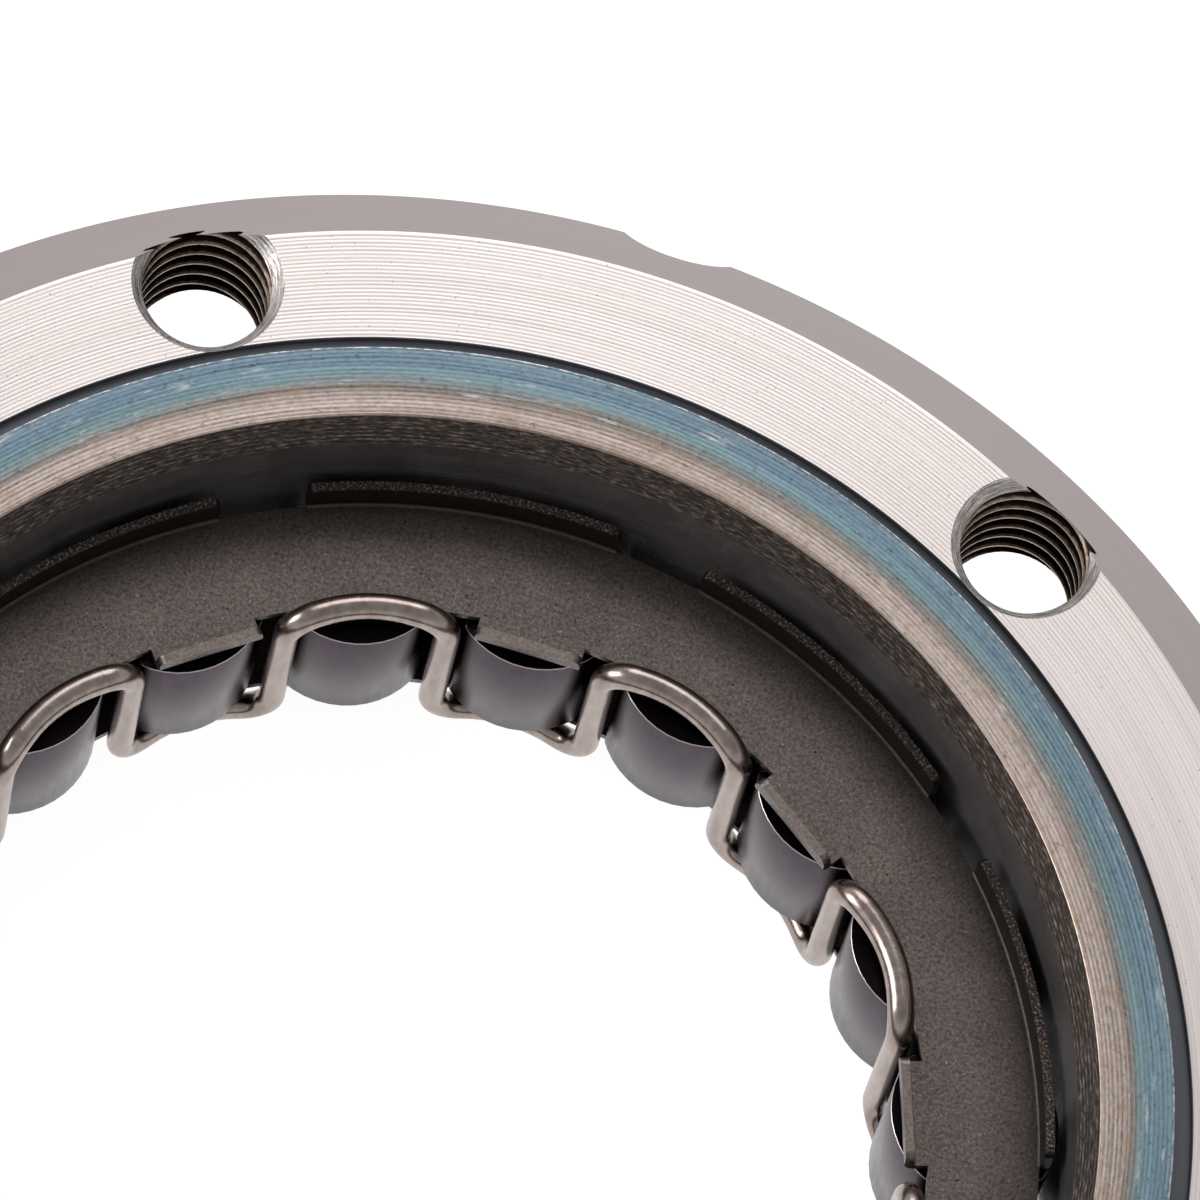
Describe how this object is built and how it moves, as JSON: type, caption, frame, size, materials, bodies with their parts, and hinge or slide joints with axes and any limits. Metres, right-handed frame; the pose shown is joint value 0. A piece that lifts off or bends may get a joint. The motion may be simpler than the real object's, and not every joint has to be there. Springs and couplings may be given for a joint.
{
  "type": "sprag clutch",
  "caption": "One-way clutch: flanged outer race with threaded holes, and sprags held between two cage plates by a meandering wire spring, gripping a shaft race in one direction.",
  "frame": {"origin": "centre of the hole circle, on the turned mounting face of the flange", "axes": "+Z along the clutch's axis, out of the mounting face and through the collar; +X through a threaded hole"},
  "size_m": [0.099, 0.0989, 0.0188],
  "materials": {
    "ring_steel": "turned, with a blue heat tint on the collar",
    "cage_steel": "matte, tumbled dark",
    "spring_wire": "bright drawn wire",
    "sprag_steel": "smooth dark satin"
  },
  "bodies": {
    "outer_ring": {"outer_ring": "ring_steel"},
    "cage": {"upper_cage_plate": "cage_steel", "lower_cage_plate": "cage_steel", "cage_crossbars": "cage_steel", "meander_spring": "spring_wire"},
    "sprag_01": {"sprag_01": "sprag_steel"},
    "sprag_02": {"sprag_02": "sprag_steel"},
    "sprag_03": {"sprag_03": "sprag_steel"},
    "sprag_04": {"sprag_04": "sprag_steel"},
    "sprag_05": {"sprag_05": "sprag_steel"},
    "sprag_06": {"sprag_06": "sprag_steel"},
    "sprag_07": {"sprag_07": "sprag_steel"},
    "sprag_08": {"sprag_08": "sprag_steel"},
    "sprag_09": {"sprag_09": "sprag_steel"},
    "sprag_10": {"sprag_10": "sprag_steel"},
    "sprag_11": {"sprag_11": "sprag_steel"},
    "sprag_12": {"sprag_12": "sprag_steel"},
    "sprag_13": {"sprag_13": "sprag_steel"},
    "sprag_14": {"sprag_14": "sprag_steel"},
    "sprag_15": {"sprag_15": "sprag_steel"},
    "sprag_16": {"sprag_16": "sprag_steel"},
    "sprag_17": {"sprag_17": "sprag_steel"},
    "sprag_18": {"sprag_18": "sprag_steel"},
    "sprag_19": {"sprag_19": "sprag_steel"},
    "sprag_20": {"sprag_20": "sprag_steel"}
  },
  "joints": [
    {"name": "cage_spin", "type": "hinge", "parent": "outer_ring", "child": "cage", "pos_m": [0, 0, -0.01025], "axis": [0, 0, 1], "continuous": true},
    {"name": "sprag_01_tilt", "type": "hinge", "parent": "cage", "child": "sprag_01", "pos_m": [-0.00071, 0.02898, -0.01025], "axis": [0, 0, 1], "range_deg": [-3, 2], "stiffness_Nm_per_rad": 0.002},
    {"name": "sprag_02_tilt", "type": "hinge", "parent": "cage", "child": "sprag_02", "pos_m": [-0.00963, 0.02734, -0.01025], "axis": [0, 0, 1], "range_deg": [-3, 2], "stiffness_Nm_per_rad": 0.002},
    {"name": "sprag_03_tilt", "type": "hinge", "parent": "cage", "child": "sprag_03", "pos_m": [-0.0176, 0.02303, -0.01025], "axis": [0, 0, 1], "range_deg": [-3, 2], "stiffness_Nm_per_rad": 0.002},
    {"name": "sprag_04_tilt", "type": "hinge", "parent": "cage", "child": "sprag_04", "pos_m": [-0.02386, 0.01646, -0.01025], "axis": [0, 0, 1], "range_deg": [-3, 2], "stiffness_Nm_per_rad": 0.002},
    {"name": "sprag_05_tilt", "type": "hinge", "parent": "cage", "child": "sprag_05", "pos_m": [-0.02778, 0.00828, -0.01025], "axis": [0, 0, 1], "range_deg": [-3, 2], "stiffness_Nm_per_rad": 0.002},
    {"name": "sprag_06_tilt", "type": "hinge", "parent": "cage", "child": "sprag_06", "pos_m": [-0.02898, -0.00071, -0.01025], "axis": [0, 0, 1], "range_deg": [-3, 2], "stiffness_Nm_per_rad": 0.002},
    {"name": "sprag_07_tilt", "type": "hinge", "parent": "cage", "child": "sprag_07", "pos_m": [-0.02734, -0.00963, -0.01025], "axis": [0, 0, 1], "range_deg": [-3, 2], "stiffness_Nm_per_rad": 0.002},
    {"name": "sprag_08_tilt", "type": "hinge", "parent": "cage", "child": "sprag_08", "pos_m": [-0.02303, -0.0176, -0.01025], "axis": [0, 0, 1], "range_deg": [-3, 2], "stiffness_Nm_per_rad": 0.002},
    {"name": "sprag_09_tilt", "type": "hinge", "parent": "cage", "child": "sprag_09", "pos_m": [-0.01646, -0.02386, -0.01025], "axis": [0, 0, 1], "range_deg": [-3, 2], "stiffness_Nm_per_rad": 0.002},
    {"name": "sprag_10_tilt", "type": "hinge", "parent": "cage", "child": "sprag_10", "pos_m": [-0.00828, -0.02778, -0.01025], "axis": [0, 0, 1], "range_deg": [-3, 2], "stiffness_Nm_per_rad": 0.002},
    {"name": "sprag_11_tilt", "type": "hinge", "parent": "cage", "child": "sprag_11", "pos_m": [0.00071, -0.02898, -0.01025], "axis": [0, 0, 1], "range_deg": [-3, 2], "stiffness_Nm_per_rad": 0.002},
    {"name": "sprag_12_tilt", "type": "hinge", "parent": "cage", "child": "sprag_12", "pos_m": [0.00963, -0.02734, -0.01025], "axis": [0, 0, 1], "range_deg": [-3, 2], "stiffness_Nm_per_rad": 0.002},
    {"name": "sprag_13_tilt", "type": "hinge", "parent": "cage", "child": "sprag_13", "pos_m": [0.0176, -0.02303, -0.01025], "axis": [0, 0, 1], "range_deg": [-3, 2], "stiffness_Nm_per_rad": 0.002},
    {"name": "sprag_14_tilt", "type": "hinge", "parent": "cage", "child": "sprag_14", "pos_m": [0.02386, -0.01646, -0.01025], "axis": [0, 0, 1], "range_deg": [-3, 2], "stiffness_Nm_per_rad": 0.002},
    {"name": "sprag_15_tilt", "type": "hinge", "parent": "cage", "child": "sprag_15", "pos_m": [0.02778, -0.00828, -0.01025], "axis": [0, 0, 1], "range_deg": [-3, 2], "stiffness_Nm_per_rad": 0.002},
    {"name": "sprag_16_tilt", "type": "hinge", "parent": "cage", "child": "sprag_16", "pos_m": [0.02898, 0.00071, -0.01025], "axis": [0, 0, 1], "range_deg": [-3, 2], "stiffness_Nm_per_rad": 0.002},
    {"name": "sprag_17_tilt", "type": "hinge", "parent": "cage", "child": "sprag_17", "pos_m": [0.02734, 0.00963, -0.01025], "axis": [0, 0, 1], "range_deg": [-3, 2], "stiffness_Nm_per_rad": 0.002},
    {"name": "sprag_18_tilt", "type": "hinge", "parent": "cage", "child": "sprag_18", "pos_m": [0.02303, 0.0176, -0.01025], "axis": [0, 0, 1], "range_deg": [-3, 2], "stiffness_Nm_per_rad": 0.002},
    {"name": "sprag_19_tilt", "type": "hinge", "parent": "cage", "child": "sprag_19", "pos_m": [0.01646, 0.02386, -0.01025], "axis": [0, 0, 1], "range_deg": [-3, 2], "stiffness_Nm_per_rad": 0.002},
    {"name": "sprag_20_tilt", "type": "hinge", "parent": "cage", "child": "sprag_20", "pos_m": [0.00828, 0.02778, -0.01025], "axis": [0, 0, 1], "range_deg": [-3, 2], "stiffness_Nm_per_rad": 0.002}
  ],
  "couplings": [
    {"joint": "sprag_02_tilt", "follows": "sprag_01_tilt", "ratio": 1},
    {"joint": "sprag_03_tilt", "follows": "sprag_01_tilt", "ratio": 1},
    {"joint": "sprag_04_tilt", "follows": "sprag_01_tilt", "ratio": 1},
    {"joint": "sprag_05_tilt", "follows": "sprag_01_tilt", "ratio": 1},
    {"joint": "sprag_06_tilt", "follows": "sprag_01_tilt", "ratio": 1},
    {"joint": "sprag_07_tilt", "follows": "sprag_01_tilt", "ratio": 1},
    {"joint": "sprag_08_tilt", "follows": "sprag_01_tilt", "ratio": 1},
    {"joint": "sprag_09_tilt", "follows": "sprag_01_tilt", "ratio": 1},
    {"joint": "sprag_10_tilt", "follows": "sprag_01_tilt", "ratio": 1},
    {"joint": "sprag_11_tilt", "follows": "sprag_01_tilt", "ratio": 1},
    {"joint": "sprag_12_tilt", "follows": "sprag_01_tilt", "ratio": 1},
    {"joint": "sprag_13_tilt", "follows": "sprag_01_tilt", "ratio": 1},
    {"joint": "sprag_14_tilt", "follows": "sprag_01_tilt", "ratio": 1},
    {"joint": "sprag_15_tilt", "follows": "sprag_01_tilt", "ratio": 1},
    {"joint": "sprag_16_tilt", "follows": "sprag_01_tilt", "ratio": 1},
    {"joint": "sprag_17_tilt", "follows": "sprag_01_tilt", "ratio": 1},
    {"joint": "sprag_18_tilt", "follows": "sprag_01_tilt", "ratio": 1},
    {"joint": "sprag_19_tilt", "follows": "sprag_01_tilt", "ratio": 1},
    {"joint": "sprag_20_tilt", "follows": "sprag_01_tilt", "ratio": 1}
  ]
}
